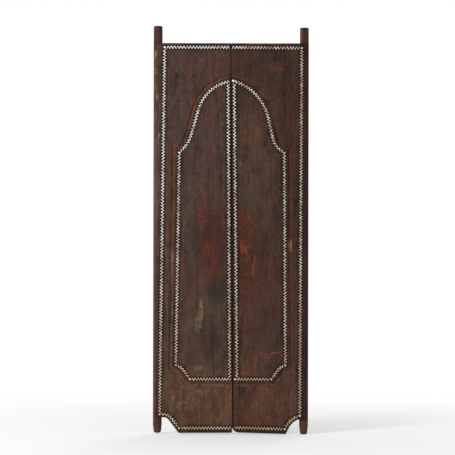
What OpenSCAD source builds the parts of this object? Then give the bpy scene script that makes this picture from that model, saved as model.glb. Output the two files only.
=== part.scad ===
// Pair of pivot door leaves with zigzag inlay.
// X runs across the doorway, the inlaid front faces -Y and Z is up.
// The origin lies on the ground, midway between the two pintle axes.
// Each leaf is drawn flat with x measured from its pintle axis towards the
// meeting edge and y as the height, then stood up on its own axis.

/* [Doorway] */
// Distance between the pintle axes of the two leaves
axis_span = 718; // [660:1:780]
// Height of each plank without its pintles
plank_h = 1910; // [1850:1:2000]
// Height of the planks' foot above the ends of the bottom pintles
foot_h = 7; // [5:0.5:20]
// Running gap between the meeting edges at the top
gap_top = 3.5; // [2.5:0.5:6]
// The same at the foot
gap_foot = 7.5; // [2.5:0.5:9]
// How far the meeting edges lean to the left from front to back
meeting_lean = 9; // [4:0.5:12]
// Place of the meeting line at the top, to the right of the middle
meeting_top = -2; // [-6:0.5:8]
// Place of the meeting line at the foot, to the right of the middle
meeting_foot = 12.5; // [6:0.5:18]

/* [Planks] */
// Thickness of a plank, and width of its rounded hanging edge
plank_t = 44; // [43:0.5:52]
// Width of the worn arrises along the meeting edges
arris_w = 0.75; // [0.5:0.25:0.75]
// Width of the worn arrises along the tops and the feet
end_arris_w = 2; // [2:0.25:2.75]
// Rise of the foot at the meeting edge, left leaf
left_foot_rise = 1; // [0:0.5:4]
// The same on the right leaf
right_foot_rise = 3; // [0:0.5:4]
// Drop of the foot at the cut corner, left leaf
left_foot_drop = 0; // [0:0.5:4]
// The same on the right leaf
right_foot_drop = 4; // [0:0.5:4]
// Radius of the worn corner between foot and meeting edge, left leaf
left_corner_r = 9; // [4:0.5:12]
// The same on the right leaf, whose back reaches farther than its front
right_corner_r = 36; // [24:0.5:40]
// Height of the ledge over the bottom pintle, above the foot, left leaf
left_ledge = 76; // [66:1:90]
// The same on the right leaf
right_ledge = 75; // [66:1:88]
// Fall of the ledge towards the cut, left leaf
left_ledge_fall = 0; // [0:1:12]
// The same on the right leaf
right_ledge_fall = 17; // [8:1:20]
// Distance from the axis to the knee of the cut corner, left leaf
left_knee = 47; // [40:1:54]
// The same on the right leaf
right_knee = 56; // [46:1:62]
// Distance from the axis to the end of the cut at the foot, left leaf
left_cut_end = 105; // [95:1:120]
// The same on the right leaf
right_cut_end = 88; // [80:1:100]
// Radius of the knee, left leaf
left_knee_r = 28; // [12:1:34]
// The same on the right leaf
right_knee_r = 85; // [20:1:95]

/* [Pintles] */
// Diameter of the pintles
pintle_d = 43; // [34:0.5:44]
// Length of the left top pintle above the plank
left_top_pintle = 85; // [60:1:110]
// Length of the right top pintle above the plank
right_top_pintle = 78; // [60:1:110]
// Rounding of the pintles' top ends
pintle_end_r = 6; // [2:0.5:12]
// Diameter at the lower end of the bottom pintles, which taper
pintle_tip_d = 35; // [24:0.5:39]
// Length of that taper
pintle_taper = 45; // [20:1:55]
// Rounding of the pintles' lower ends
pintle_tip_r = 10; // [2:0.5:11]
// How much higher the left bottom pintle ends than the right one
left_tip_lift = 6; // [0:0.5:12]

/* [Inlay] */
// Width of the mastic band
band_w = 20; // [19.5:0.5:22]
// Depth of the channel that holds the mastic
channel_d = 4.5; // [4:0.25:8]
// How far the mastic has shrunk below the wood
mastic_sunk = 0.4; // [0.2:0.1:1]
// Thickness of the slips
slip_t = 2.6; // [1.5:0.1:3.2]
// Width of a slip
slip_w = 3; // [2.4:0.1:3.4]
// Swing of the zigzag to each side of its line
swing = 6.2; // [5:0.1:6.4]
// Mastic joint round each slip
joint_w = 0.25; // [0.15:0.05:0.4]
// Side of the corner squares
square_w = 9; // [7:0.5:10]
// Plain wood between the ends of the bands and the meeting edge
edge_land = 2.5; // [2:0.5:6]

/* [Pitch of the slips] */
// Advance of the zigzag for each slip in the feet, the arches and the cuts
slip_step = 7.4; // [6.4:0.1:9]
// The same along the tops
top_step = 7.8; // [6.4:0.1:9]
// The same down the hanging side, left leaf
left_side_step = 7.6; // [6.4:0.1:9]
// The same down the hanging side, right leaf
right_side_step = 7.1; // [6.4:0.1:9]
// The same down the sides of the panels
panel_side_step = 7.4; // [6.4:0.1:9]
// The same beside the meeting edges
meeting_step = 8.2; // [6.4:0.1:9]

/* [Outer border] */
// Plain wood between the band and the plank's top
top_land = 10.5; // [3:0.5:13]
// Extra drop of the top line at the hanging side, right leaf
right_top_drop = 3; // [0:0.5:8]
// Distance from the pintle axis to the side line at the top, left leaf
left_side_top = 33; // [16:1:36]
// The same at the ledge, left leaf
left_side_foot = 11.5; // [10.5:0.5:24]
// Distance from the pintle axis to the side line at the top, right leaf
right_side_top = 13.5; // [10.5:0.5:30]
// The same at the ledge, right leaf
right_side_foot = 19.5; // [10.5:0.5:24]
// Plain wood between the band and the ledge and the cut
cut_land = 5.5; // [3:0.5:10]
// Plain wood between the band and the foot
foot_land = 13.5; // [10:0.5:18]

/* [Arched panel] */
// Plain wood between the band and the meeting edge at the panel's top, left leaf
left_meeting_land_top = 2.5; // [1.25:0.25:8]
// The same at the panel's bottom
left_meeting_land_foot = 1.25; // [1.25:0.25:8]
// Plain wood between the band and the meeting edge at the panel's top, right leaf
right_meeting_land_top = 3; // [1.25:0.25:8]
// The same at the panel's bottom
right_meeting_land_foot = 7.25; // [1.25:0.25:14]
// Depth of the crown at the meeting edge below the plank's top, left leaf
left_crown = 187; // [167:1:210]
// The same on the right leaf
right_crown = 182; // [167:1:210]
// Distance from the axis to the haunch corner of the arch, left leaf
left_haunch_x = 232; // [200:1:250]
// Depth of that corner below the crown
left_haunch_drop = 23; // [10:1:54]
// Radius of the arch, left leaf
left_arch_r = 194; // [120:1:200]
// Distance from the axis to the haunch corner of the arch, right leaf
right_haunch_x = 208; // [190:1:230]
// Depth of that corner below the crown
right_haunch_drop = 50; // [29:1:79]
// Radius of the arch, right leaf
right_arch_r = 242; // [150:1:262]
// Distance from the axis to the arch's foot corner, left leaf
left_arch_foot_x = 152; // [140:1:165]
// Depth of that corner below the crown
left_arch_foot_drop = 303; // [284:1:318]
// Radius of the reverse curve at the arch's foot, left leaf
left_arch_foot_r = 165; // [60:1:180]
// Distance from the axis to the arch's foot corner, right leaf
right_arch_foot_x = 145; // [135:1:160]
// Depth of that corner below the crown
right_arch_foot_drop = 323; // [304:1:333]
// Radius of the reverse curve at the arch's foot, right leaf
right_arch_foot_r = 92; // [50:1:110]
// Distance from the axis to the shoulder, left leaf
left_shoulder_x = 105.5; // [98:0.5:116]
// Depth of the shoulder below the crown, left leaf
left_shoulder_drop = 350; // [338:1:363]
// Distance from the axis to the shoulder, right leaf
right_shoulder_x = 97.5; // [90:0.5:110]
// Depth of the shoulder below the crown, right leaf
right_shoulder_drop = 354; // [343:1:368]
// Distance from the axis to the side line's lower end
side_end_x = 91; // [84:1:100]
// Height of the side line's lower end above the foot
side_end_h = 332; // [320:1:345]
// Distance from the axis to the knee of the panel's cut corner
panel_knee_x = 113; // [106:1:120]
// Height of that knee above the foot
panel_knee_h = 327; // [315:1:335]
// Radius of that knee
panel_knee_r = 45; // [10:1:55]
// Distance from the axis to the lower end of the panel's cut corner
panel_cut_x = 160; // [150:1:175]
// Height of the panel's bottom line above the foot
panel_foot_h = 263.5; // [245:0.5:275]

/* [Groove] */
// Distance of the groove outside the arch's inlay line
arch_groove_out = 24.5; // [22:0.5:29]
// The same outside the inlay lines of the panel's side and foot
side_groove_out = 28; // [23:0.5:32]
// Width of the groove
groove_w = 19; // [12:0.5:22]
// Depth of the groove
groove_d = 5; // [2:0.25:7]
// Height of the groove's horn above the shoulder, left leaf
left_horn = 40; // [30:1:48]
// The same on the right leaf
right_horn = 28; // [20:1:36]
// How far the groove dips between the horn and the arch
horn_dip = 16; // [8:1:22]
// Radius of that dip
horn_dip_r = 22; // [14:1:24]

/* [Hidden] */
LEFT = 0;
RIGHT = 1;
wood_left = "#4a342b";
wood_right = "#463029";
mastic_black = "#1d1a18";
bone = "#e6dccb";
bone_warm = "#dfd0b8";
// Height of the top of the planks
plank_top = foot_h + plank_h;
// Radius of the rounded hanging edge
edge_r = plank_t / 2;
// Turn of the segments that make up an arc
arc_step = 5;
// Spare length of a cutter past the face that it opens
over = 1;
// Least mastic between two slips, squares or runs that meet at a corner
land = 0.5;
// Plain mastic before the first slip at the meeting edge
edge_room = 1.5;
// Least wood between a channel and the meeting edge
edge_wall = 1;
// Flat strips that make up the hollow of the groove
groove_strips = 8;
$fn = 48;

// Plain vector help
function unit(v) = v / norm(v);
function left_of(v) = [-v[1], v[0]];
function crossing(a, b, c, d) =
    let (u = b - a, v = d - c, w = c - a)
    a + u * (w[0] * v[1] - w[1] * v[0]) / (u[0] * v[1] - u[1] * v[0]);

// Points of an arc that rounds the corner b of a, b, c with radius wish, or
// with the largest that the shorter of the two sides has room for
function corner_arc(a, b, c, wish) =
    let (
        u = unit(a - b),
        v = unit(c - b),
        half = acos(u * v) / 2,
        r = min(wish, 0.95 * tan(half) * min(norm(a - b), norm(c - b))),
        centre = b + unit(u + v) * r / sin(half),
        from = b + u * r / tan(half) - centre,
        start = atan2(from[1], from[0]),
        turn = (u[0] * v[1] < u[1] * v[0] ? 1 : -1) * (180 - 2 * half),
        n = max(2, ceil(abs(turn) / arc_step))
    )
    [for (i = [0:n]) centre + r * [cos(start + turn * i / n), sin(start + turn * i / n)]];

// Open path through corners, each given as [x, y, rounding radius]
function rounded(corners) =
    let (p = [for (c = corners) [c[0], c[1]]], last = len(corners) - 1)
    [for (i = [0:last]) each
        (i == 0 || i == last || corners[i][2] == 0)
            ? [p[i]]
            : corner_arc(p[i - 1], p[i], p[i + 1], corners[i][2])];

// Mitred normal at point i of a path
function normal_at(path, i) =
    let (
        last = len(path) - 1,
        before = i > 0 ? unit(path[i] - path[i - 1]) : unit(path[1] - path[0]),
        after = i < last ? unit(path[i + 1] - path[i]) : before,
        sum = unit(left_of(before) + left_of(after))
    )
    sum / (sum * left_of(before));

// Path moved sideways, to its left where d is positive
function beside(path, d) = [for (i = [0:len(path) - 1]) path[i] + d * normal_at(path, i)];
function reversed(list) = [for (i = [len(list) - 1:-1:0]) list[i]];

// Outline of a band of width w along a path
function band(path, w) = concat(beside(path, w / 2), reversed(beside(path, -w / 2)));

// Running length at each point of a path
function running(path) =
    [for (i = 0, s = 0; i < len(path);
        s = s + (i + 1 < len(path) ? norm(path[i + 1] - path[i]) : 0), i = i + 1) s];

// Point at length s along a path, moved sideways by d
function along(path, run, s, d) =
    let (
        last = len(path) - 2,
        hits = [for (i = [0:last]) if (run[i + 1] >= s) i],
        i = len(hits) > 0 ? hits[0] : last,
        t = (s - run[i]) / (run[i + 1] - run[i]),
        n = unit(normal_at(path, i) * (1 - t) + normal_at(path, i + 1) * t)
    )
    path[i] + (path[i + 1] - path[i]) * t + n * d;

// Distances of the inlay lines inside the planks' edges
top_in = top_land + band_w / 2;
cut_in = cut_land + band_w / 2;
foot_in = foot_land + band_w / 2;
meeting_in_top = [left_meeting_land_top + band_w / 2, right_meeting_land_top + band_w / 2];
meeting_in_foot = [left_meeting_land_foot + band_w / 2, right_meeting_land_foot + band_w / 2];

// Values of the two leaves, left first
foot_rise = [left_foot_rise, right_foot_rise];
foot_drop = [left_foot_drop, right_foot_drop];
corner_r = [left_corner_r, right_corner_r];
ledge_h = [left_ledge, right_ledge];
ledge_fall = [left_ledge_fall, right_ledge_fall];
knee_x = [left_knee, right_knee];
knee_r = [left_knee_r, right_knee_r];
cut_end_x = [left_cut_end, right_cut_end];
top_pintle = [left_top_pintle, right_top_pintle];
top_drop = [0, right_top_drop];
side_top_x = [left_side_top, right_side_top];
side_foot_x = [left_side_foot, right_side_foot];
crown_z = [plank_top - left_crown, plank_top - right_crown];
haunch = [[left_haunch_x, crown_z[LEFT] - left_haunch_drop, left_arch_r],
    [right_haunch_x, crown_z[RIGHT] - right_haunch_drop, right_arch_r]];
arch_foot = [[left_arch_foot_x, crown_z[LEFT] - left_arch_foot_drop, left_arch_foot_r],
    [right_arch_foot_x, crown_z[RIGHT] - right_arch_foot_drop, right_arch_foot_r]];
shoulder = [[left_shoulder_x, crown_z[LEFT] - left_shoulder_drop],
    [right_shoulder_x, crown_z[RIGHT] - right_shoulder_drop]];
horn_up = [left_horn, right_horn];

// Distance from a leaf's axis to its meeting edge at height z
function meeting_x(leaf, z) =
    let (
        down = (plank_top - z) / plank_h,
        place = meeting_top + (meeting_foot - meeting_top) * down,
        gap = gap_top + (gap_foot - gap_top) * down
    )
    axis_span / 2 + (leaf == LEFT ? place : -place) - gap / 2;
// Point on the meeting edge, or inside it, at height z
function meeting_point(leaf, z, inside = 0) = [meeting_x(leaf, z) - inside, z];

// How much farther the meeting edge reaches at the back than at the front, and
// the spare wood of the outline past it, which the meeting cutter takes off
edge_lean = [-meeting_lean, meeting_lean];
function spare(leaf) = [max(0, edge_lean[leaf]) + over, 0];

// Outline of a plank
function ledge_point(leaf) = [0, foot_h + ledge_h[leaf]];
function knee(leaf) = [knee_x[leaf], foot_h + ledge_h[leaf] - ledge_fall[leaf]];
function cut_end(leaf) = [cut_end_x[leaf], foot_h - foot_drop[leaf]];
function foot_corner(leaf) = meeting_point(leaf, foot_h + foot_rise[leaf]);
function cut_line(leaf) = rounded([
    ledge_point(leaf), [each knee(leaf), knee_r[leaf]], cut_end(leaf)]);
function plank_outline(leaf) =
    let (top = meeting_point(leaf, plank_top) + spare(leaf))
    concat(
        [top, [0, plank_top]],
        cut_line(leaf),
        corner_arc(cut_end(leaf), foot_corner(leaf) + spare(leaf), top, corner_r[leaf]));

// Corners of the outer border's inlay line
function top_start(leaf) = meeting_point(leaf, plank_top - top_in, edge_land);
function side_top(leaf) = [side_top_x[leaf], plank_top];
function side_foot(leaf) = [side_foot_x[leaf], foot_h + ledge_h[leaf]];
function inset_knee(leaf) = beside([ledge_point(leaf), knee(leaf), cut_end(leaf)], cut_in)[1];
function top_corner(leaf) =
    crossing([0, plank_top - top_in - top_drop[leaf]], top_start(leaf),
        side_top(leaf), side_foot(leaf));
function ledge_corner(leaf) =
    crossing(side_top(leaf), side_foot(leaf),
        inset_knee(leaf), inset_knee(leaf) + knee(leaf) - ledge_point(leaf));
function foot_end(leaf) = foot_corner(leaf) + [-edge_land, foot_in];
function cut_corner(leaf) =
    crossing(inset_knee(leaf), inset_knee(leaf) + cut_end(leaf) - knee(leaf),
        foot_end(leaf), foot_end(leaf) + cut_end(leaf) - foot_corner(leaf));
function border_cut(leaf) = rounded([
    ledge_corner(leaf), [each inset_knee(leaf), knee_r[leaf] + cut_in], cut_corner(leaf)]);
function border_line(leaf) = concat(
    [top_start(leaf), top_corner(leaf)], border_cut(leaf), [foot_end(leaf)]);

// Corners of the arched panel's inlay line
function crown(leaf) = meeting_point(leaf, crown_z[leaf], edge_land);
function side_end() = [side_end_x, foot_h + side_end_h];
function panel_cut_end() = [panel_cut_x, foot_h + panel_foot_h];
function panel_end(leaf) = meeting_point(leaf, foot_h + panel_foot_h, edge_land);
function arch_line(leaf) = rounded([
    crown(leaf), haunch[leaf], arch_foot[leaf], shoulder[leaf]]);
function panel_cut_line() = rounded([
    side_end(), [panel_knee_x, foot_h + panel_knee_h, panel_knee_r], panel_cut_end()]);
function panel_line(leaf) = concat(
    arch_line(leaf), panel_cut_line(), [panel_end(leaf)]);
function meeting_low(leaf) = meeting_point(leaf, foot_h + panel_foot_h, meeting_in_foot[leaf]);
function meeting_high(leaf) =
    let (high = meeting_point(leaf, crown_z[leaf], meeting_in_top[leaf]))
    crossing(meeting_low(leaf), high, crown(leaf), [haunch[leaf][0], haunch[leaf][1]]);
function meeting_line(leaf) = [meeting_low(leaf), meeting_high(leaf)];

// Centre line of the groove outside the panel, run on past the meeting edge
function groove_line(leaf) =
    let (
        past = edge_land + spare(leaf)[0] + over,
        bend = [haunch[leaf][0], haunch[leaf][1]],
        rise = unit(crown(leaf) - bend),
        start = crown(leaf) + rise * (past + (arch_groove_out + groove_w) * rise[1]) / rise[0],
        outside = beside([start, bend, [arch_foot[leaf][0], arch_foot[leaf][1]]], -arch_groove_out),
        side = beside([shoulder[leaf], side_end()], -side_groove_out),
        horn = side[0] + [0, horn_up[leaf]],
        dip = crossing(outside[1], outside[2], horn - [0, horn_dip], horn + [1, -horn_dip]),
        lower = beside(concat([shoulder[leaf]], panel_cut_line(), [panel_end(leaf) + [past, 0]]),
            -side_groove_out)
    )
    concat(
        rounded([outside[0], [each outside[1], haunch[leaf][2] + arch_groove_out],
            [each dip, horn_dip_r], horn]),
        [for (i = [1:len(lower) - 1]) lower[i]]);

// Solid from a flat shape, its front at depth from below the front face
module at_front(from, thick) {
    translate([0, from - plank_t / 2 + thick, 0])
        rotate([90, 0, 0])
            linear_extrude(thick)
                children();
}

// Stands a leaf on its pintle axis
module stand(leaf) {
    translate([leaf == LEFT ? -axis_span / 2 : axis_span / 2, 0, 0])
        mirror([leaf == LEFT ? 0 : 1, 0, 0])
            children();
}

// Flat shapes of the two mastic bands
module border_shape(leaf) {
    polygon(band(border_line(leaf), band_w));
}

// The band's end at the crown is square to the arch, so its corner is cut off where
// it would come through the meeting edge
module panel_shape(leaf) {
    low = meeting_point(leaf, foot_h, edge_wall);
    high = meeting_point(leaf, plank_top, edge_wall);
    difference() {
        union() {
            polygon(band(panel_line(leaf), band_w));
            polygon(band(meeting_line(leaf), band_w));
        }
        polygon([low, low + [band_w, 0], high + [band_w, 0], high]);
    }
}

// Hollow groove as a swept section, a parabola that runs on past the front face
module groove_cutter(leaf) {
    line = groove_line(leaf);
    rim = sqrt(1 + over / groove_d);
    section = [for (i = [0:groove_strips])
        let (u = rim * (2 * i / groove_strips - 1))
        [u * groove_w / 2, groove_d * (1 - u * u)]];
    m = len(section);
    n = len(line);
    rails = [for (q = section) beside(line, q[0])];
    points = [for (i = [0:n - 1], j = [0:m - 1])
        [rails[j][i][0], section[j][1] - plank_t / 2, rails[j][i][1]]];
    sides = [for (i = [0:n - 2], j = [0:m - 1])
        let (k = (j + 1) % m)
        each [[i * m + k, i * m + j, i * m + m + k], [i * m + m + k, i * m + j, i * m + m + j]]];
    ends = [[for (j = [0:m - 1]) j], [for (j = [m - 1:-1:0]) (n - 1) * m + j]];
    polyhedron(points, concat(sides, ends));
}

// Hanging edge and both pintles, turned about the axis. The edge runs on below the
// ledge as far as the ledge falls, so that the bottom pintle is round all its length.
module hanging_edge(leaf) {
    r = pintle_d / 2;
    tip = pintle_tip_d / 2;
    low = knee(leaf)[1];
    end = leaf == LEFT ? left_tip_lift : 0;
    top = plank_top + top_pintle[leaf];
    low_end = rounded([[0, end], [tip, end, pintle_tip_r], [r, pintle_taper, 0], [r, low]]);
    high_end = rounded([[r, plank_top], [r, top, pintle_end_r], [0, top]]);
    rotate_extrude()
        polygon(concat(low_end, [[edge_r, low], [edge_r, plank_top]], high_end));
}

// Takes off the front and back arrises of width w from a to b, the wood on its left
module arris_cutter(a, b, w) {
    d = b - a;
    face = plank_t / 2;
    translate([a[0], 0, a[1]])
        rotate([0, atan2(d[0], d[1]), 0])
            for (side = [-1, 1])
                translate([0, 0, -over])
                    linear_extrude(norm(d) + 2 * over)
                        polygon([
                            [-w - over, side * (face + over)],
                            [over, side * (face - w - over)],
                            [over, side * (face + over)]]);
}

// Cuts the meeting edge to its lean from front to back, with both arrises
module meeting_cutter(leaf) {
    a = foot_corner(leaf);
    d = meeting_point(leaf, plank_top) - a;
    face = plank_t / 2;
    w = arris_w;
    back = edge_lean[leaf];
    far = spare(leaf)[0] + over;
    translate([a[0], 0, a[1]])
        rotate([0, atan2(d[0], d[1]), 0])
            translate([0, 0, -over])
                linear_extrude(norm(d) + 2 * over)
                    polygon([
                        [-w - over, -face - over],
                        [back * w / plank_t, w - face],
                        [back * (1 - w / plank_t), face - w],
                        [back - w - over, face + over],
                        [far, face + over],
                        [far, -face - over]]);
}

module leaf_plank(leaf, tint) {
    color(tint)
        stand(leaf)
            difference() {
                union() {
                    at_front(0, plank_t)
                        polygon(plank_outline(leaf));
                    hanging_edge(leaf);
                }
                at_front(-over, over + channel_d)
                    border_shape(leaf);
                at_front(-over, over + channel_d)
                    panel_shape(leaf);
                groove_cutter(leaf);
                meeting_cutter(leaf);
                arris_cutter(meeting_point(leaf, plank_top) + spare(leaf),
                    [edge_r + over, plank_top], end_arris_w);
                arris_cutter(cut_end(leaf), foot_corner(leaf) + spare(leaf), end_arris_w);
            }
}

side_step = [left_side_step, right_side_step];
least_step = min(slip_step, top_step, left_side_step, right_side_step, panel_side_step, meeting_step);
// Reach of a slip to each side of its own middle, square to the run
function slip_half(step) = slip_w / 2 * norm([2 * swing, step]) / step;
// Farthest reach of a zigzag's pocket to each side of its line
reach = swing + slip_half(least_step) + joint_w;
// Room for a corner square, or for the next run, before the first slip
corner_gap = max(reach, square_w / sqrt(2) + joint_w) + land;
// Distance of the right leaf's squares from the ends of its arch and foot line
end_square = square_w / 2 + 2 * land;
// Room before the first slip at the meeting edge, with a square on the right leaf
edge_gap = [edge_room, end_square + square_w / 2 + 2 * land];
// Room below the arch for the run beside the meeting edge
function crown_gap(leaf) =
    let (a = atan((crown(leaf)[1] - haunch[leaf][1]) / (crown(leaf)[0] - haunch[leaf][0])))
    reach / cos(a) + reach * tan(a) + land;

// Runs of slips on a leaf: the line, the room kept at its start and end, and the pitch
function runs(leaf) = [
    [[top_start(leaf), top_corner(leaf)], edge_room, corner_gap, top_step],
    [[top_corner(leaf), ledge_corner(leaf)], corner_gap, corner_gap, side_step[leaf]],
    [border_cut(leaf), corner_gap, corner_gap, slip_step],
    [[cut_corner(leaf), foot_end(leaf)], corner_gap, edge_room, slip_step],
    [arch_line(leaf), edge_gap[leaf], corner_gap, slip_step],
    [[shoulder[leaf], side_end()], corner_gap, corner_gap, panel_side_step],
    [panel_cut_line(), corner_gap, corner_gap, slip_step],
    [[panel_cut_end(), panel_end(leaf)], corner_gap, edge_gap[leaf], slip_step],
    [meeting_line(leaf), reach + land, crown_gap(leaf), meeting_step]
];
// Length of a run that is filled with slips, and their number
function path_length(path) = running(path)[len(path) - 1];
function filled(r) = path_length(r[0]) - r[1] - r[2];
function slip_count(r) = max(1, round(filled(r) / r[3]));
BORDER_RUNS = [0:3];
PANEL_RUNS = [4:8];

// Places of the corner squares of each border, as [place, turn]
function border_squares(leaf) =
    [for (q = [top_corner(leaf), ledge_corner(leaf), cut_corner(leaf)]) [q, 0]];
function panel_squares(leaf) =
    let (arch = arch_line(leaf), fall = arch[0] - arch[1])
    concat([for (q = [shoulder[leaf], side_end(), panel_cut_end()]) [q, 0]],
        leaf == RIGHT
            ? [[along(arch, running(arch), end_square, 0), atan2(fall[1], fall[0])],
                [panel_end(leaf) - [end_square, 0], 0]]
            : []);

// One square of side w at a place and turn
module corner_square(q, w) {
    translate(q[0])
        rotate(q[1])
            square(w, center = true);
}

// Slips of one run, end to end with a mastic joint between them
module slips(leaf, i) {
    r = runs(leaf)[i];
    path = r[0];
    run = running(path);
    n = slip_count(r);
    step = filled(r) / n;
    half = slip_half(step);
    g = joint_w / 2;
    color(bone)
        stand(leaf)
            at_front(0, slip_t)
                for (j = [0:n - 1]) {
                    s0 = r[1] + step * j + g;
                    s1 = r[1] + step * (j + 1) - g;
                    d = (j % 2 == 0 ? swing : -swing) * (1 - 2 * g / step);
                    polygon([
                        along(path, run, s0, d + half),
                        along(path, run, s0, d - half),
                        along(path, run, s1, -d - half),
                        along(path, run, s1, -d + half)]);
                }
}

// One long side of the zigzag pocket of a run, on its left where side is 1
function pocket_side(r, side) =
    let (
        run = running(r[0]),
        n = slip_count(r),
        out = side * (slip_half(filled(r) / n) + joint_w)
    )
    [for (j = [0:n])
        along(r[0], run, r[1] + filled(r) * j / n, (j % 2 == 0 ? swing : -swing) + out)];

// Pockets in the mastic of the given runs and squares
module pockets(leaf, numbers, squares) {
    for (i = numbers)
        let (r = runs(leaf)[i])
            at_front(-over, over + slip_t)
                polygon(concat(pocket_side(r, 1), reversed(pocket_side(r, -1))));
    for (q = squares)
        at_front(-over, over + slip_t)
            corner_square(q, square_w + 2 * joint_w);
}

module border_mastic(leaf) {
    color(mastic_black)
        stand(leaf)
            difference() {
                at_front(mastic_sunk, channel_d - mastic_sunk)
                    border_shape(leaf);
                pockets(leaf, BORDER_RUNS, border_squares(leaf));
            }
}

module panel_mastic(leaf) {
    color(mastic_black)
        stand(leaf)
            difference() {
                at_front(mastic_sunk, channel_d - mastic_sunk)
                    panel_shape(leaf);
                pockets(leaf, PANEL_RUNS, panel_squares(leaf));
            }
}

module corner_squares(leaf) {
    color(bone_warm)
        stand(leaf)
            at_front(0, slip_t)
                for (q = concat(border_squares(leaf), panel_squares(leaf)))
                    corner_square(q, square_w);
}

leaf_plank(LEFT, wood_left);  // left_leaf_plank
border_mastic(LEFT);  // left_border_mastic
panel_mastic(LEFT);  // left_panel_mastic
slips(LEFT, 0);  // left_top_slips
slips(LEFT, 1);  // left_side_slips
slips(LEFT, 2);  // left_cut_slips
slips(LEFT, 3);  // left_foot_slips
slips(LEFT, 4);  // left_arch_slips
slips(LEFT, 5);  // left_panel_side_slips
slips(LEFT, 6);  // left_panel_cut_slips
slips(LEFT, 7);  // left_panel_foot_slips
slips(LEFT, 8);  // left_meeting_slips
corner_squares(LEFT);  // left_corner_squares
leaf_plank(RIGHT, wood_right);  // right_leaf_plank
border_mastic(RIGHT);  // right_border_mastic
panel_mastic(RIGHT);  // right_panel_mastic
slips(RIGHT, 0);  // right_top_slips
slips(RIGHT, 1);  // right_side_slips
slips(RIGHT, 2);  // right_cut_slips
slips(RIGHT, 3);  // right_foot_slips
slips(RIGHT, 4);  // right_arch_slips
slips(RIGHT, 5);  // right_panel_side_slips
slips(RIGHT, 6);  // right_panel_cut_slips
slips(RIGHT, 7);  // right_panel_foot_slips
slips(RIGHT, 8);  // right_meeting_slips
corner_squares(RIGHT);  // right_corner_squares
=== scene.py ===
import math
import random

import bmesh
import bpy
from mathutils import Matrix, Vector


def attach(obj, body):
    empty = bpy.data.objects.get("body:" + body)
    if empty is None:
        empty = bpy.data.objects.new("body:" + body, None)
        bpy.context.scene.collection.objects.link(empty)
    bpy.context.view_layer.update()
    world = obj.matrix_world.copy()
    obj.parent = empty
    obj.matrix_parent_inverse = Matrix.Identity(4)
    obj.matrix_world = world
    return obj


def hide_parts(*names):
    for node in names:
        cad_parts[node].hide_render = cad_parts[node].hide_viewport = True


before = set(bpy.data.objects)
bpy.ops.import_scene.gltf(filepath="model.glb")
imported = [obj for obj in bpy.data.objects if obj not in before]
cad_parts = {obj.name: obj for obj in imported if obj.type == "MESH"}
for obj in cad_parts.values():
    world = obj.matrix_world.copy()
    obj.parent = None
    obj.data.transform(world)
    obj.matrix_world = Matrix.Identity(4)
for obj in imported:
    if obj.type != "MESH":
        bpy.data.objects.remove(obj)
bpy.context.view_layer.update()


# The camera stands level, 9 m in front of the pair and at about half its height. Its long lens
# shows the leaves nearly square on, and it leans a little, as the photograph does.
CAMERA_LEAN = 0.13  # degrees
camera = bpy.data.objects.new("camera", bpy.data.cameras.new("camera"))
camera.data.sensor_width = 36
camera.data.lens = 145
camera.matrix_world = (
    Matrix.Translation((-0.0165, -9.0, 1.014))
    @ Matrix.Rotation(math.radians(90), 4, "X")
    @ Matrix.Rotation(math.radians(CAMERA_LEAN), 4, "Z")
)
bpy.context.scene.collection.objects.link(camera)
bpy.context.scene.camera = camera
bpy.context.scene.view_settings.view_transform = "Standard"


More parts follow.
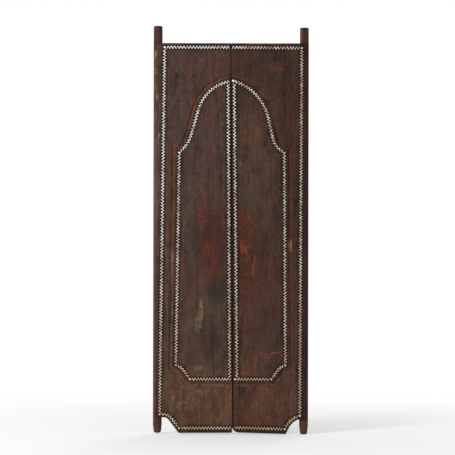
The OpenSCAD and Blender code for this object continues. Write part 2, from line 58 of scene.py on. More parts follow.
# The studio is a white room with one soft lamp high on the left, which leaves the near wall of
# every hollow in shade, and a wider, weaker one that fills in the backs. The floor is pale, and
# fades into the white further off.
class Shade:
    """A socket of a node tree. Sums and products of it add their Math nodes."""

    def __init__(self, tree, socket=None):
        self.tree = tree
        self.socket = socket

    def node(self, kind, inputs=None, output=0, **settings):
        """Adds a node, its settings first, and gives back one of its sockets."""
        made = self.tree.nodes.new("ShaderNode" + kind)
        for name, value in settings.items():
            if name == "stops":
                stops = made.color_ramp.elements
                while len(stops) < len(value):
                    stops.new(1)
                for stop, (place, shown) in zip(stops, value):
                    stop.position = place
                    stop.color = shown
            else:
                setattr(made, name, value)
        for name, value in (inputs or {}).items():
            if isinstance(value, Shade):
                self.tree.links.new(value.socket, made.inputs[name])
            else:
                made.inputs[name].default_value = value
        return None if output is None else Shade(self.tree, made.outputs[output])

    def maths(self, operation, other=0.0, clamp=False):
        return self.node("Math", {0: self, 1: other}, operation=operation, use_clamp=clamp)

    def __add__(self, other):
        return self.maths("ADD", other)

    def __sub__(self, other):
        return self.maths("SUBTRACT", other)

    def __rsub__(self, other):
        return self.node("Math", {0: other, 1: self}, operation="SUBTRACT")

    def __mul__(self, other):
        return self.maths("MULTIPLY", other)

    __radd__ = __add__
    __rmul__ = __mul__

    def rise(self, low, high):
        """0 where this is under low, 1 where it is over high, and smooth between."""
        inputs = {"Value": self, "From Min": low, "From Max": high}
        return self.node("MapRange", inputs, interpolation_type="SMOOTHSTEP")

    def fall(self, low, high):
        return 1 - self.rise(low, high)

    def between(self, under, over):
        """The colour under where this is 0, and the colour over where it is 1."""
        return self.node("Mix", {0: self, 6: under, 7: over}, output=2, data_type="RGBA")

    def scaled(self, sizes):
        """This vector or colour with its parts multiplied by one value or by three."""
        if isinstance(sizes, Shade):
            return self.node("VectorMath", {0: self, "Scale": sizes}, operation="SCALE")
        return self.node("VectorMath", {0: self, 1: sizes}, operation="MULTIPLY")

    def noise(self, sizes, detail=3.0, roughness=0.55):
        """Noise from 0 to 1, as fine as sizes says for a metre along each axis."""
        return self.node("TexNoise", {"Vector": self.scaled(sizes), "Scale": 1.0,
                                      "Detail": detail, "Roughness": roughness})

    def vector(self, operation, other=(0, 0, 0), output=0):
        """This vector and another one in a Vector Math node. Output 1 is a number."""
        return self.node("VectorMath", {0: self, 1: other}, output=output, operation=operation)

    def length(self):
        return self.vector("LENGTH", output=1)

    def seen(self):
        """1 for what the camera, a gloss or a clear body shows, and 0 for what only lights."""
        rays = [self.node("LightPath", output=f"Is {kind} Ray")
                for kind in ("Camera", "Glossy", "Transmission")]
        return rays[0].maths("MAXIMUM", rays[1]).maths("MAXIMUM", rays[2])


AMBIENT = 0.52  # the light of the room on the object
world = bpy.data.worlds.new("studio")
world.use_nodes = True
world.node_tree.nodes.clear()
bpy.context.scene.world = world
room = Shade(world.node_tree)
level = AMBIENT + (1 - AMBIENT) * room.seen()
white = room.node("Background", {"Color": (1, 1, 1, 1), "Strength": level})
room.node("OutputWorld", {"Surface": white}, output=None)

AIM = Vector((0, 0, 1))  # the middle of the pair
LAMPS = (("key", 1.6, 250, (-4.2, -3.6, 3.6)), ("fill", 3.2, 110, (2.4, 4.6, 3.2)))
for name, size, energy, place in LAMPS:
    lamp = bpy.data.objects.new(name, bpy.data.lights.new(name, "AREA"))
    lamp.data.shape = "DISK"
    lamp.data.size = size
    lamp.data.energy = energy
    lamp.location = place
    lamp.rotation_euler = (AIM - lamp.location).to_track_quat("-Z", "Y").to_euler()
    bpy.context.scene.collection.objects.link(lamp)

floor_mesh = bpy.data.meshes.new("floor")
paper = bmesh.new()
bmesh.ops.create_grid(paper, x_segments=1, y_segments=1, size=40)
paper.to_mesh(floor_mesh)
paper.free()
floor = bpy.data.objects.new("floor", floor_mesh)
bpy.context.scene.collection.objects.link(floor)


def new_material(name):
    """A material with no nodes yet, and a Shade to start them from."""
    material = bpy.data.materials.new(name)
    material.use_nodes = True
    material.node_tree.nodes.clear()
    return material, Shade(material.node_tree)


floor_paint, start = new_material("floor_paint")
floor_mesh.materials.append(floor_paint)
FADE = (0.3, 2.6)  # how far from the door the floor starts and ends to fade
far = start.node("TexCoord", output="Object").length().rise(*FADE)
glare = (0.42 + 0.58 * far) * start.seen()
matt = start.node("BsdfDiffuse", {"Color": (0.86, 0.86, 0.86, 1)})
bright = start.node("Emission", {"Color": (1, 1, 1, 1), "Strength": 1.0})
faded = start.node("MixShader", {0: glare, 1: matt, 2: bright})
start.node("OutputMaterial", {"Surface": faded}, output=None)


# Left leaf's plank: one board of dense brown hardwood, its pintles cut from the same piece and
# its hanging edge rounded. Old stain has gone black beside the inlay, the groove is rubbed with
# red earth, and the edge that hands and weather reach is worn to the bare wood, with painted
# light making it paler still where it faces the lamp.
def colour(red, green, blue):
    """A colour from its screen values out of 255."""
    parts = [value / 255 for value in (red, green, blue)]
    return (*[p / 12.92 if p < 0.04045 else ((p + 0.055) / 1.055) ** 2.4 for p in parts], 1.0)


def beside_line(place, *lines):
    """The distance on a leaf's front to the nearest of some lines through points."""
    nearest = None
    for line in lines:
        for a, b in zip(line, line[1:]):
            run = Vector((b[0] - a[0], 0, b[1] - a[1]))
            off = place.vector("SUBTRACT", (a[0], 0, a[1]))
            share = off.vector("DOT_PRODUCT", run / run.length_squared, output=1)
            share = share.maths("ADD", clamp=True)
            foot = place.node("VectorMath", {0: run, "Scale": share}, operation="SCALE")
            gap = off.vector("SUBTRACT", foot).length()
            nearest = gap if nearest is None else nearest.maths("MINIMUM", gap)
    return nearest


def most(*masks):
    """The largest of some masks."""
    top = masks[0]
    for mask in masks[1:]:
        top = top.maths("MAXIMUM", mask)
    return top


HINGE = 0.359  # from the middle of the pair to a pintle's axis
THICKNESS = 0.044
BOARD_HEIGHT = 1.910
BOARD_TOP = 1.917  # over the floor
EDGE_LEAN = 0.009 / THICKNESS  # how far the meeting edges lean, front to back
PINTLE_RADIUS = 0.0215


class Plank:
    """The figure of one plank, read from its place in the leaf: across from the pintle axis
    towards the meeting edge, through from the front, and up from the floor. The side is -1 for
    the left leaf and 1 for the right one, and meeting is where its meeting edge lies at the foot
    and at the top. A shift gives a leaf its own figure, round its own pith."""

    def __init__(self, name, side, shift, pith, meeting, bands):
        self.material, start = new_material(name)
        here = start.node("TexCoord", output="Object")
        x, y, self.height = [here.node("SeparateXYZ", {0: here}, output=i) for i in range(3)]
        self.across = (x - side * HINGE) * -side
        self.through = y + THICKNESS / 2
        place = here.node("CombineXYZ", {0: self.across, 1: 0.0, 2: self.height})
        solid = here.node("CombineXYZ", {0: self.across + shift, 1: y, 2: self.height + shift})

        # Places on the front, strayed by some millimetres, for marks with uneven rims
        stray = solid.node("TexNoise", {"Vector": solid.scaled((70, 70, 40)), "Scale": 1.0,
                                        "Detail": 3.0}, output=1)
        stray = stray.vector("SUBTRACT", (0.5, 0.5, 0.5)).scaled((0.022, 0, 0.030))
        self.loose = place.vector("ADD", stray)

        # The tree's rings, round a pith that lies behind the board and wanders
        bend = solid.noise((4, 4, 1.3), 2) - 0.5
        ring = here.node("CombineXYZ", {0: self.across - pith + self.height * 0.03 + bend * 0.12,
                                        1: y - 0.14 + bend * 0.05, 2: 0.0}).length()
        self.rings = ring.node("TexNoise", {"W": ring * 120, "Scale": 1.0, "Detail": 3.0},
                               noise_dimensions="1D")

        # The rest of the figure, from 0 to 1, from lines along the grain to broad drifts
        self.streaks = solid.noise((150, 150, 6), 4, 0.6)
        self.pores = solid.noise((900, 900, 38), 2, 0.5).rise(0.56, 0.74)
        self.mottle = solid.noise((24, 24, 13), 5, 0.65)
        self.drift = solid.noise((5, 5, 3.2), 3, 0.5)
        self.speckle = solid.noise((240, 240, 170), 3, 0.65)
        self.adze = solid.noise((26, 26, 90), 4, 0.7)
        self.blotch = solid.noise((75, 75, 34), 5, 0.72)
        self.fleck = solid.noise((130, 130, 80), 3, 0.7)

        # The stain beside the inlay, the hollow groove of the panel, and its rim in painted shade
        self.front = self.through.fall(0.006, 0.02)
        stained = beside_line(place, *bands) + (self.mottle - 0.5) * 0.022
        stained = stained + (self.streaks - 0.5) * 0.010
        self.stain = stained.fall(0.006, 0.023) * self.front
        inside = self.across.rise(0.040, 0.050)
        inside = inside * self.height.rise(0.19, 0.21) * self.height.fall(1.80, 1.82)
        self.hollow = self.through.rise(0.0003, 0.0022) * self.through.fall(0.0058, 0.007) * inside
        self.rim = self.through.rise(0.0001, 0.0004) * self.through.fall(0.0011, 0.0020) * inside

        # The meeting edge's face, to be painted dark as the shade in the gap, and the pintles
        foot, top = meeting
        edge = self.across - self.height * ((top - foot) / BOARD_HEIGHT) - foot
        edge = edge - self.through * (side * EDGE_LEAN)
        self.edge = edge.rise(-0.0014, -0.0006) * self.through.rise(0.0006, 0.0014)
        above = self.height.rise(BOARD_TOP, BOARD_TOP + 0.0005)
        ends = most(above, self.height.fall(0.062, 0.072))
        self.pin = ends * self.across.fall(PINTLE_RADIUS, 0.025)

        # How light or dark the wood is, about 1 for the most part
        tone = 0.85 * self.rings + 0.90 * self.streaks + 1.50 * self.mottle + 0.60 * self.adze
        tone = tone + 0.70 * self.drift + 1.40 * self.blotch - 0.30 * self.pores - 1.94
        self.tone = tone.maths("MAXIMUM", 0.3) * (0.45 + 1.1 * self.speckle)

    def patch(self, centre, reach, soft=0.7):
        """1 in the middle of an oval on the front, falling to 0 at its uneven rim."""
        off = self.loose.vector("SUBTRACT", (centre[0], 0, centre[1]))
        off = off.scaled((1 / reach[0], 0, 1 / reach[1]))
        return off.length().fall(1 - soft, 1) * self.front

    def stroke(self, half, *points):
        """1 along a scratch through points, broken up, and 0 from half its width on."""
        mark = beside_line(self.loose, points).fall(half * 0.2, half)
        return mark * self.blotch.rise(0.36, 0.56) * self.front

    def ground(self, middle, foot, *kinds):
        """The wood's own colour, in drifts of two kinds. Each kind has its colour low on the
        leaf, high on it and at the foot, and they change over between the heights given."""
        grounds = []
        for low, high, end in kinds:
            shown = self.height.rise(*middle).between(colour(*low), colour(*high))
            grounds.append(self.height.fall(*foot).between(shown, colour(*end)))
        return self.drift.rise(0.35, 0.65).between(*grounds)

    def groove(self, wood, filled, low, high, redder, dry):
        """Red earth in the hollow of the groove, and drier, paler wood in it near the floor."""
        earth = self.height.rise(0.9, 1.5).between(colour(*low), colour(*high))
        earth = (self.mottle.rise(0.35, 0.65) * 0.5 + redder[0]).between(earth, colour(*redder[1]))
        wood = (self.hollow * filled).between(wood, earth.scaled(self.tone))
        bared = self.hollow * self.height.fall(0.25, 0.40) * self.blotch.rise(0.38, 0.56)
        return (bared * dry[0]).between(wood, colour(*dry[1]))

    def backed(self, wood, pale, dark):
        """The front's colour, and towards the back the dry bare wood of the unstained face."""
        bare = self.drift.rise(0.36, 0.64).between(dark, pale).scaled(0.35 + 0.65 * self.tone)
        sooty = self.mottle.rise(0.56, 0.74) * 0.35 + self.blotch.rise(0.58, 0.72) * 0.2
        bare = sooty.between(bare, colour(70, 53, 43))
        return (self.through.rise(0.012, 0.040) * 0.9).between(wood, bare)

    def finish(self, shown, rubbed):
        """Ends the material. It is less rough where rubbed is 1."""
        tall = self.streaks * 0.35 + self.adze * 0.6 + self.speckle * 0.3 - self.pores * 0.4
        bumps = self.loose.node("Bump", {"Strength": 0.8, "Distance": 0.0011,
                                         "Height": tall + self.mottle * 1.1})
        surface = self.loose.node("BsdfPrincipled", {
            "Base Color": shown, "Roughness": 0.80 - 0.12 * rubbed + 0.1 * self.pores,
            "Normal": bumps, "Specular IOR Level": 0.13})
        self.loose.node("OutputMaterial", {"Surface": surface}, output=None)
        return self.material


# The middle lines of the inlay, across from the pintle axis and up from the floor
LEFT_BORDER = [(0.3529, 1.8965), (0.0328, 1.8965), (0.0117, 0.0985), (0.0331, 0.0985),
               (0.0540, 0.0931), (0.0677, 0.0814), (0.1066, 0.0305), (0.3652, 0.0315)]
LEFT_PANEL = [(0.3540, 1.7300), (0.3166, 1.7201), (0.2736, 1.6975), (0.2376, 1.6647),
              (0.2111, 1.6240), (0.1996, 1.5936), (0.1636, 1.4677), (0.1474, 1.4297),
              (0.1223, 1.3969), (0.1055, 1.3800), (0.0910, 0.3390), (0.1067, 0.3341),
              (0.1229, 0.3206), (0.1600, 0.2705), (0.3635, 0.2705)]
LEFT_MEETING = [(0.3548, 0.2705), (0.3440, 1.7281)]
left = Plank("left_wood_wear_and_painted_light", side=-1, shift=0.0, pith=0.19, meeting=(0.3678, 0.3553),
             bands=(LEFT_BORDER, LEFT_PANEL, LEFT_MEETING))

# The wood, and its hanging edge, which is paler in the middle
wood = left.ground((0.7, 1.5), (0.20, 0.42), ((72, 57, 47), (67, 52, 47), (86, 66, 52)),
                   ((76, 53, 42), (70, 48, 41), (86, 60, 45)))
hanging = left.height.rise(0.6, 1.1).between(colour(64, 48, 39), colour(80, 62, 54))
hanging = left.height.rise(1.45, 1.75).between(hanging, colour(68, 48, 39))
wood = (left.across.fall(0.010, 0.030) * 0.85).between(wood, hanging)
wood = wood.scaled(left.tone)

# Ash, smoke, and two depths of red earth
ash = most(left.patch((0.012, 1.36), (0.012, 0.16)), left.patch((0.285, 0.70), (0.10, 0.12)),
           left.patch((0.345, 1.20), (0.030, 0.13)), left.patch((0.008, 1.06), (0.013, 0.08)),
           0.7 * left.patch((0.165, 0.90), (0.045, 0.20)))
wood = (ash * left.mottle.rise(0.35, 0.6) * 0.6).between(wood, colour(58, 57, 56))
smoke = most(left.patch((0.270, 0.94), (0.110, 0.25)),
             0.8 * left.patch((0.300, 0.72), (0.080, 0.11)),
             0.6 * left.patch((0.270, 0.48), (0.120, 0.26)) * left.fleck.rise(0.46, 0.58),
             0.7 * left.patch((0.250, 0.43), (0.055, 0.12)),
             0.45 * left.patch((0.160, 0.76), (0.065, 0.14)),
             0.8 * left.patch((0.192, 0.96), (0.035, 0.21)))
wood = (smoke * (0.30 + 0.60 * left.blotch.rise(0.38, 0.56))).between(wood, colour(44, 33, 29))
maroon = most(left.patch((0.270, 0.88), (0.095, 0.19)), left.patch((0.330, 1.02), (0.030, 0.15)))
wood = (maroon * left.mottle.rise(0.42, 0.58) * 0.7).between(wood, colour(78, 34, 27))
red = most(left.patch((0.252, 0.862), (0.052, 0.112), 0.5) * left.blotch.rise(0.43, 0.57),
           left.patch((0.218, 1.056), (0.030, 0.085), 0.5) * left.fleck.rise(0.47, 0.57),
           0.7 * left.patch((0.290, 0.93), (0.060, 0.19)) * left.fleck.rise(0.53, 0.62),
           left.patch((0.325, 1.055), (0.018, 0.065)) * left.blotch.rise(0.42, 0.56),
           0.7 * left.patch((0.265, 1.08), (0.045, 0.06)) * left.fleck.rise(0.50, 0.60),
           left.stroke(0.006, (0.214, 1.181), (0.245, 1.180)),
           left.stroke(0.006, (0.246, 0.783), (0.272, 0.786)),
           0.4 * left.stroke(0.006, (0.1205, 1.8226), (0.138, 1.77), (0.152, 1.715)),
           0.2 * left.patch((0.275, 1.55), (0.012, 0.10)) * left.mottle.rise(0.42, 0.58),
           0.6 * left.patch((0.105, 1.34), (0.006, 0.03)))
wood = (red * (0.35 + 0.55 * left.fleck.rise(0.42, 0.56))).between(wood, colour(112, 49, 37))

# Scratches and rubbed places down to bare wood, knots, and the stain beside the inlay
bare = most(0.45 * left.stroke(0.004, (0.113, 1.548), (0.114, 1.627)),
            0.45 * left.patch((0.0455, 0.87), (0.006, 0.07)) * left.streaks.rise(0.35, 0.55),
            0.35 * left.patch((0.0465, 0.64), (0.006, 0.12)) * left.streaks.rise(0.35, 0.55),
            0.7 * left.stroke(0.007, (0.285, 0.243), (0.362, 0.237)),
            0.9 * left.patch((0.213, 0.605), (0.015, 0.085)) * left.blotch.rise(0.36, 0.54),
            0.7 * left.patch((0.204, 0.545), (0.026, 0.07)) * left.blotch.rise(0.40, 0.56),
            0.6 * left.patch((0.205, 0.325), (0.040, 0.020)) * left.blotch.rise(0.40, 0.56),
            0.6 * left.stroke(0.009, (0.078, 0.185), (0.082, 0.165), (0.095, 0.150),
                              (0.128, 0.160)),
            0.5 * left.stroke(0.008, (0.092, 0.135), (0.130, 0.150), (0.170, 0.205),
                              (0.240, 0.212)),
            0.4 * left.stroke(0.008, (0.120, 0.235), (0.180, 0.222), (0.225, 0.190)),
            0.6 * left.stroke(0.007, (0.310, 0.112), (0.310, 0.075)),
            0.35 * left.patch((0.2185, 1.834), (0.009, 0.009)))
wood = bare.between(wood, colour(122, 96, 78))
knots = most(left.patch((0.0925, 1.758), (0.011, 0.016)),
             0.5 * left.patch((0.086, 1.73), (0.010, 0.05)))
wood = (knots * 0.85).between(wood, colour(36, 25, 21))
wood = (left.stain * 0.80).between(wood, colour(34, 27, 24))

# The groove, its rim in painted shade, and pale places on the rim: chafes and painted highlight
wood = left.groove(wood, 0.35 + 0.45 * left.height.rise(0.3, 0.9), (84, 56, 42), (72, 40, 29),
                   redder=(0.20, (96, 58, 42)), dry=(0.75, (116, 78, 56)))
# Painted shade: the groove's shallow edges darkened
wood = (left.rim * 0.80).between(wood, colour(38, 26, 21))
# Pale streaks in the groove: partly chafed bare wood, partly painted highlight on its lit wall
chafe_and_highlight = most(left.patch((0.0710, 0.850), (0.006, 0.085)),
             left.patch((0.0720, 0.600), (0.006, 0.06)),
             0.8 * left.patch((0.0675, 0.410), (0.006, 0.06)))
wood = (chafe_and_highlight * left.streaks.rise(0.30, 0.50) * 0.45).between(wood, colour(146, 108, 84))

# The rounded hanging edge, worn, ambered and painted light, then the arrises in painted shade
# and stain, the pintles and the back
# Painted light and wear: the rounded edge that faces the lamp, paler and orange
rounded = left.across.fall(-0.0195, -0.012)
edge_wear_and_light = most(rounded * left.height.fall(1.55, 1.64) * left.streaks.rise(0.26, 0.46),
            rounded * left.mottle.rise(0.46, 0.58) * 0.8)
wood = (edge_wear_and_light * 0.9 * left.front).between(wood, colour(132, 72, 44))
amber = most(left.patch((-0.0115, 1.861), (0.008, 0.028)),
             left.patch((-0.003, 1.653), (0.011, 0.022)),
             0.7 * left.patch((-0.011, 1.745), (0.007, 0.10)) * left.blotch.rise(0.40, 0.54))
wood = (amber * 0.85).between(wood, colour(150, 88, 54))
scuff = left.stroke(0.005, (0.003, 1.460), (0.008, 1.470))
wood = (scuff * 0.7).between(wood, colour(140, 136, 132))
# Painted shade and old stain: the top and bottom arrises darkened
arris = most(left.height.rise(1.910, 1.9145), left.height.fall(0.013, 0.022))
arris = arris * (1 - left.pin)
wood = (arris * 0.88).between(wood, colour(38, 25, 21))
pin = left.height.rise(0.5, 1.5).between(colour(82, 56, 43), colour(48, 35, 30))
pin = left.streaks.rise(0.3, 0.65).between(pin, colour(75, 50, 40))
wood = left.pin.between(wood, pin.scaled(0.4 + 1.2 * left.mottle))
wood = left.backed(wood, colour(117, 94, 76), colour(100, 78, 62))
# Painted shade: the meeting edge's face darkened, as the gap between the leaves lies in shade
wood = (left.edge * 0.85).between(wood, colour(20, 15, 13))
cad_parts["left_leaf_plank"].material_slots[0].material = left.finish(wood, edge_wear_and_light)


# Right leaf's plank: a board of the same wood, cut the other way round and hung on pintles of
# its own. It is a shade darker and redder than the left one, partly because the weather reached
# it less and partly as painted shade where the light falls off towards the right. Its red earth
# is spread thinner, in streaks that follow the grain.
RIGHT_BORDER = [(0.3566, 1.8965), (0.0136, 1.8936), (0.0195, 0.0923), (0.0411, 0.0844),
                (0.0613, 0.0713), (0.0778, 0.0538), (0.0932, 0.0267), (0.3403, 0.0335)]
RIGHT_PANEL = [(0.3552, 1.7350), (0.3165, 1.7210), (0.2805, 1.7014), (0.2483, 1.6761),
               (0.2209, 1.6457), (0.1989, 1.6112), (0.1831, 1.5734), (0.1777, 1.5536),
               (0.1533, 1.4481), (0.1452, 1.4261), (0.1318, 1.4069), (0.1140, 1.3917),
               (0.0975, 1.3810), (0.0910, 0.3390), (0.1067, 0.3341), (0.1229, 0.3206),
               (0.1600, 0.2705), (0.3425, 0.2705)]
RIGHT_MEETING = [(0.3278, 0.2705), (0.3446, 1.7314)]
right = Plank("right_wood_wear_and_painted_light", side=1, shift=7.3, pith=0.23, meeting=(0.3427, 0.3592),
              bands=(RIGHT_BORDER, RIGHT_PANEL, RIGHT_MEETING))

# The wood, darker on its hanging edge as painted shade on the side away from the lamp, and paler
# in the upper panel
wood = right.ground((0.3, 1.4), (0.20, 0.45), ((66, 50, 41), (59, 43, 36), (74, 54, 43)),
                    ((70, 46, 36), (61, 39, 31), (84, 54, 41)))
# Painted shade: the hanging edge, turned away from the lamp, darkened
wood = (right.across.fall(0.010, 0.030) * 0.85).between(wood, colour(43, 32, 26))
paler = right.patch((0.225, 1.36), (0.135, 0.44), 0.5)
wood = paler.between(wood, colour(76, 54, 42))
wood = wood.scaled(right.tone)

# Ash, two depths of red earth, orange streaks, knots, and the stain beside the inlay
ash = most(right.patch((0.315, 0.19), (0.022, 0.055)), right.patch((0.285, 1.16), (0.05, 0.09)),
           0.8 * right.patch((0.055, 0.66), (0.02, 0.25)),
           0.9 * right.patch((0.19, 0.58), (0.10, 0.27)))
wood = (ash * right.mottle.rise(0.35, 0.6) * 0.65).between(wood, colour(57, 53, 49))
maroon = most(right.patch((0.300, 0.98), (0.050, 0.16)),
              0.7 * right.patch((0.255, 0.80), (0.10, 0.22)))
wood = (maroon * right.mottle.rise(0.42, 0.58) * 0.55).between(wood, colour(72, 32, 25))
red = most(0.85 * right.patch((0.284, 1.030), (0.046, 0.115), 0.6) * right.fleck.rise(0.48, 0.58),
           right.patch((0.292, 0.900), (0.040, 0.070), 0.5) * right.blotch.rise(0.42, 0.56),
           0.75 * right.patch((0.228, 0.77), (0.130, 0.21), 0.5) * right.fleck.rise(0.51, 0.61),
           0.55 * right.patch((0.270, 0.66), (0.060, 0.24), 0.5) * right.fleck.rise(0.51, 0.60),
           0.55 * right.patch((0.162, 1.81), (0.085, 0.030)) * right.fleck.rise(0.44, 0.58),
           0.25 * right.patch((0.21, 0.33), (0.12, 0.30)) * right.fleck.rise(0.54, 0.66),
           0.5 * right.patch((0.185, 1.50), (0.012, 0.07)) * right.mottle.rise(0.42, 0.56),
           right.stroke(0.007, (0.112, 1.789), (0.154, 1.789)),
           right.stroke(0.005, (0.292, 0.66), (0.290, 0.56)))
wood = (red * (0.35 + 0.45 * right.blotch.rise(0.42, 0.56))).between(wood, colour(110, 50, 37))
streak = most(right.stroke(0.006, (0.2406, 0.872), (0.252, 0.755)),
              0.7 * right.stroke(0.006, (0.155, 0.84), (0.143, 0.78)),
              0.6 * right.patch((0.298, 0.915), (0.022, 0.028)) * right.blotch.rise(0.40, 0.52),
              0.6 * right.patch((0.243, 0.345), (0.007, 0.050)),
              0.8 * right.stroke(0.008, (0.232, 0.415), (0.235, 0.350), (0.240, 0.295)),
              right.stroke(0.006, (0.216, 0.401), (0.190, 0.394), (0.166, 0.392), (0.150, 0.398),
                           (0.118, 0.404)),
              right.stroke(0.007, (0.210, 0.379), (0.159, 0.382)),
              0.7 * right.stroke(0.006, (0.230, 0.238), (0.210, 0.231), (0.165, 0.226)),
              0.5 * right.stroke(0.006, (0.262, 0.25), (0.262, 0.215)),
              0.6 * right.patch((0.296, 0.30), (0.025, 0.02)))
wood = (streak * 0.75).between(wood, colour(126, 66, 46))
knots = most(right.patch((0.298, 1.345), (0.007, 0.024)),
             0.75 * right.patch((0.306, 0.225), (0.028, 0.060)))
wood = (knots * 0.85).between(wood, colour(34, 23, 19))
wood = (right.stain * 0.82).between(wood, colour(30, 22, 19))

# The groove, its rim in painted shade, and pale places on the rim: chafes and painted highlight
wood = right.groove(wood, 0.70, (70, 47, 36), (64, 37, 27),
                    redder=(0.15, (84, 50, 35)), dry=(0.65, (108, 70, 50)))
# Pale streaks in the groove: partly chafed bare wood, partly painted highlight on its lit wall
chafe_and_highlight = most(right.patch((0.0655, 0.925), (0.006, 0.045)),
             0.5 * right.patch((0.074, 0.93), (0.005, 0.05)))
wood = (chafe_and_highlight * right.streaks.rise(0.30, 0.50) * 0.8).between(wood, colour(150, 100, 68))
# Painted shade: the groove's shallow edges darkened
wood = (right.rim * 0.75).between(wood, colour(32, 21, 17))

# The meeting edge near the foot, the hanging edge in painted shade and wear, the arrises in
# painted shade and stain, the pintles, the back, and the meeting edge's face in painted shade
low_edge = right.across.rise(0.331, 0.338) * right.height.fall(0.30, 0.36) * right.front
wood = (low_edge * right.streaks.rise(0.30, 0.5) * 0.8).between(wood, colour(90, 44, 31))
# Painted shade and wear: the rounded hanging edge darkened in streaks
edge_wear_and_light = right.across.fall(-0.018, -0.008) * right.streaks.rise(0.30, 0.60) * right.front
wood = (edge_wear_and_light * 0.8).between(wood, colour(60, 38, 30))
# Painted shade and old stain: the top and bottom arrises darkened
arris = most(right.height.rise(1.910, 1.9145), right.height.fall(0.012, 0.022))
arris = arris * (1 - right.pin)
wood = (arris * 0.75).between(wood, colour(36, 22, 18))
dash = right.height.rise(1.9075, 1.9095) * right.across.rise(0.09, 0.12)
dash = dash * right.across.fall(0.27, 0.30) * right.fleck.rise(0.47, 0.54)
wood = (dash * 0.9).between(wood, colour(132, 60, 38))
pin = right.streaks.rise(0.3, 0.65).between(colour(52, 37, 30), colour(80, 54, 43))
wear = right.pin * right.across.rise(0.006, 0.018)
pin = (wear * right.mottle.rise(0.42, 0.55)).between(pin, colour(104, 60, 36))
pin = right.height.fall(0.2, 0.5).between(pin, colour(88, 56, 40))
wood = right.pin.between(wood, pin.scaled(0.4 + 1.2 * right.mottle))
wood = right.backed(wood, colour(108, 86, 69), colour(92, 71, 57))
# Painted shade: the meeting edge's face darkened, as the gap between the leaves lies in shade
wood = (right.edge * 0.85).between(wood, colour(20, 15, 13))
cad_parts["right_leaf_plank"].material_slots[0].material = right.finish(wood, edge_wear_and_light)


# Mastic: resin cooked with soot and pressed into the channels round the slips. It has shrunk a
# little below the wood, and dust and red earth sit in it.
mastic, start = new_material("mastic_old")
here = start.node("TexCoord", output="Object")
dirt = here.noise((90, 90, 60), 4, 0.65)
grit = here.noise((900, 900, 900), 3, 0.6)
shown = dirt.rise(0.46, 0.76).between(colour(15, 12, 11), colour(44, 32, 26))
bumps = here.node("Bump", {"Strength": 0.8, "Distance": 0.0005, "Height": dirt + 0.4 * grit})
surface = here.node("BsdfPrincipled", {
    "Base Color": shown, "Roughness": 0.6 + 0.3 * grit, "Normal": bumps,
    "Specular IOR Level": 0.25})
here.node("OutputMaterial", {"Surface": surface}, output=None)
for leaf in ("left", "right"):
    for band in ("border", "panel"):
        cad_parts[f"{leaf}_{band}_mastic"].material_slots[0].material = mastic


# Slips: some 1,500 short bars of shell, sawn and filed by hand and set end to end in zigzag
# pockets of the mastic. No two lie quite alike or have kept the same colour. They are paler
# at the upper left and darker and tanner towards the right and the foot, partly from red earth
# and smoke and partly as painted shade where the light falls off.
def shell(name, stops, tan):
    """Polished shell, each piece its own colour, tan with dirt and with painted shade."""
    material, start = new_material(name)
    here = start.node("TexCoord", output="Object")
    side, height = [here.node("SeparateXYZ", {0: here}, output=i) for i in (0, 2)]
    own = start.node("NewGeometry", output="Random Per Island")
    shown = own.node("ValToRGB", {0: own}, stops=stops)
    cloud = here.noise((420, 420, 420), 3, 0.6)
    drift = here.noise((14, 14, 9), 3, 0.6)
    top_run = height.rise(1.870, 1.880)
    # Paler at the upper left: cleaner shell, and painted light
    clean_and_lit = most(side.fall(-0.345, -0.300) * height.rise(0.85, 1.25),
                 0.7 * height.rise(1.30, 1.37) * side.fall(0.0, 0.06),
                 0.8 * top_run * side.fall(0.28, 0.32))
    shown = (0.7 * clean_and_lit).between(shown, colour(253, 251, 247))
    ruddy = top_run * side.rise(0.030, 0.050) * side.fall(0.26, 0.31)
    # Darker towards the right and the foot: smoke, and painted shade where the light falls off
    smoke_and_shade = 0.30 + 0.14 * side.rise(0.02, 0.12) + 0.08 * side.rise(0.31, 0.34)
    smoke_and_shade = smoke_and_shade + 0.30 * height.fall(0.10, 0.9) + 1.4 * (drift - 0.5)
    smoke_and_shade = smoke_and_shade * (1 - 0.80 * clean_and_lit)
    first, second = [(own * spread).maths("FRACT") for spread in (7.31, 23.7)]
    dyed = (first + smoke_and_shade + 0.42 * ruddy).rise(0.88, 0.98)
    earth = (second + 0.5 * ruddy).rise(0.3, 0.7).between(tan, colour(138, 62, 38))
    shown = (dyed * 0.88).between(shown, earth)
    shown = (smoke_and_shade.rise(0.0, 1.3) * (0.05 + 0.7 * cloud)).between(shown, tan)
    shown = (0.30 * height.fall(0.20, 1.0)).between(shown, colour(232, 190, 142))
    shown = shown.scaled(0.90 + 0.26 * cloud)
    bumps = here.node("Bump", {"Strength": 0.4, "Distance": 0.0002, "Height": cloud})
    surface = here.node("BsdfPrincipled", {
        "Base Color": shown, "Roughness": 0.30 + 0.25 * cloud, "Normal": bumps,
        "Specular IOR Level": 0.5})
    here.node("OutputMaterial", {"Surface": surface}, output=None)
    return material


TOUCHING = 1e-6  # points closer than this become one
FLAT = 0.02  # faces that turn less than this, in radians, become one
TURNED, TIPPED = 1.3, 1.0  # degrees at most
SUNK = (0.00009, 0.0002)
EASED = 0.0004


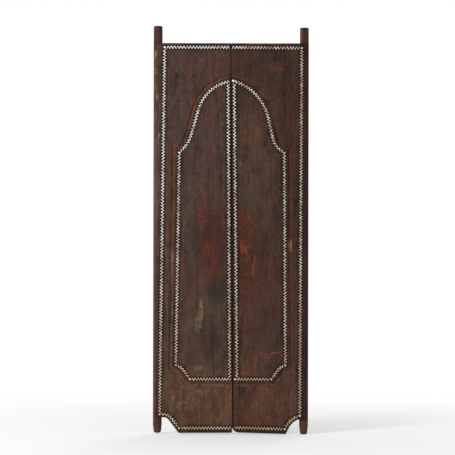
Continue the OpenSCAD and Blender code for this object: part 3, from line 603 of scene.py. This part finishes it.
def hand_cut(node, body, material):
    """A run of slips as they were filed: copies of the node's solids, each turned, tipped and
    set low by a hair, with its upper edges eased."""
    dice = random.Random(node)
    run = bmesh.new()
    run.from_mesh(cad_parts[node].data)
    bmesh.ops.remove_doubles(run, verts=run.verts, dist=TOUCHING)
    bmesh.ops.dissolve_limit(run, angle_limit=FLAT, verts=run.verts, edges=run.edges)
    tops, done = set(), set()
    for first in run.verts:
        if first in done:
            continue
        done.add(first)
        bar = [first]
        for vert in bar:
            for edge in vert.link_edges:
                other = edge.other_vert(vert)
                if other not in done:
                    done.add(other)
                    bar.append(other)
        middle = sum((vert.co for vert in bar), Vector()) / len(bar)
        turn = Matrix.Rotation(math.radians(dice.uniform(-TURNED, TURNED)), 3, "Y")
        bmesh.ops.rotate(run, verts=bar, cent=middle, matrix=turn)
        top = [vert for vert in bar if vert.co.y < middle.y]
        middle = sum((vert.co for vert in top), Vector()) / len(top)
        axis = Vector((dice.uniform(-1, 1), 0, dice.uniform(-1, 1))).normalized()
        tip = Matrix.Rotation(math.radians(dice.uniform(0, TIPPED)), 3, axis)
        bmesh.ops.rotate(run, verts=top, cent=middle, matrix=tip)
        bmesh.ops.translate(run, verts=top, vec=(0, dice.uniform(*SUNK), 0))
        tops.update(top)
    rims = [edge for edge in run.edges if edge.verts[0] in tops and edge.verts[1] in tops]
    bmesh.ops.bevel(run, geom=rims, offset=EASED, segments=2, profile=0.5, affect="EDGES",
                    material=-1)
    mesh = bpy.data.meshes.new(f"{node}_filed")
    run.to_mesh(mesh)
    run.free()
    piece = bpy.data.objects.new(f"{node}_filed", mesh)
    bpy.context.scene.collection.objects.link(piece)
    mesh.materials.clear()
    mesh.materials.append(material)
    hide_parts(node)
    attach(piece, body)


slip_shell = shell("slip_shell", [
    (0.0, colour(246, 241, 230)), (0.35, colour(234, 224, 204)), (0.60, colour(250, 247, 240)),
    (0.74, colour(208, 188, 164)), (0.86, colour(228, 210, 180)), (1.0, colour(170, 118, 92))],
    colour(176, 142, 110))
RUNS = ("top", "side", "cut", "foot", "arch", "panel_side", "panel_cut", "panel_foot", "meeting")
for leaf in ("left", "right"):
    for run_name in RUNS:
        hand_cut(f"{leaf}_{run_name}_slips", f"{leaf}_leaf", slip_shell)


# Corner squares: a larger block of older, yellower shell wherever two runs meet at a corner, and
# at the right leaf's meeting edge. They are filed and laid as the slips are.
square_shell = shell("square_shell", [
    (0.0, colour(250, 243, 224)), (0.5, colour(244, 230, 196)), (1.0, colour(238, 218, 172))],
    colour(222, 188, 140))
for leaf in ("left", "right"):
    hand_cut(f"{leaf}_corner_squares", f"{leaf}_leaf", square_shell)
